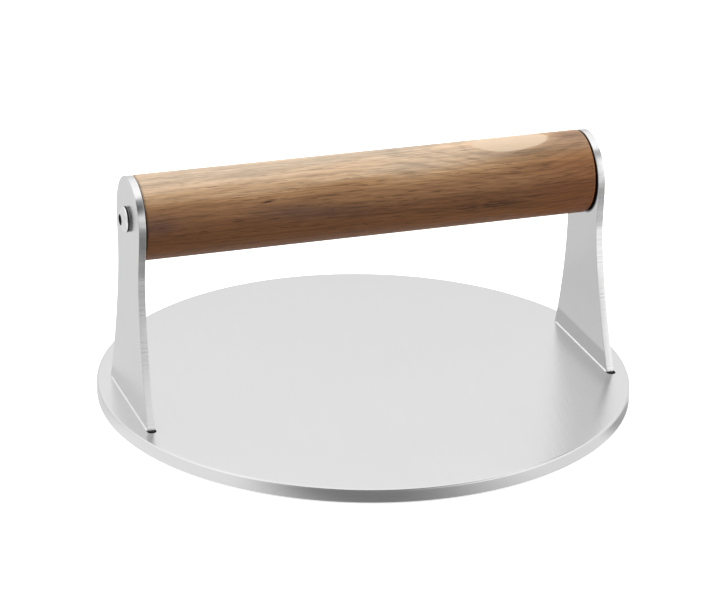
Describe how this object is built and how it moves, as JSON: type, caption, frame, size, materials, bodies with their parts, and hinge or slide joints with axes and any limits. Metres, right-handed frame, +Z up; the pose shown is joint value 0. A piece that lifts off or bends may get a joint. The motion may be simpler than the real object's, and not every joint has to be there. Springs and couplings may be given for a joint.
{
  "type": "patty press",
  "caption": "Hand-held patty press: a flat round steel plate with two flared steel uprights and a round wooden handle screwed between them.",
  "frame": {"origin": "centre of the press plate's flat underside, which is the pressing face", "axes": "+Z up through the plate towards the handle, +X along the handle from the left upright to the right one"},
  "size_m": [0.18, 0.18, 0.0835],
  "materials": {
    "plate_steel": "fine straight brushing, satin, with a bright chamfer round the rim",
    "upright_steel": "satin faces, ground edges with fine cross ripples",
    "weld_steel": "bright, smoothed",
    "handle_wood": "oiled, brown with darker streaks and one pale sapwood patch",
    "screw_steel": "polished",
    "insert_brass": "as turned"
  },
  "bodies": {
    "root": {"press_plate": "plate_steel", "left_upright": "upright_steel", "right_upright": "upright_steel", "left_outer_weld": "weld_steel", "left_inner_weld": "weld_steel", "right_outer_weld": "weld_steel", "right_inner_weld": "weld_steel", "handle": "handle_wood", "left_screw": "screw_steel", "right_screw": "screw_steel", "left_insert": "insert_brass", "right_insert": "insert_brass"}
  },
  "joints": []
}
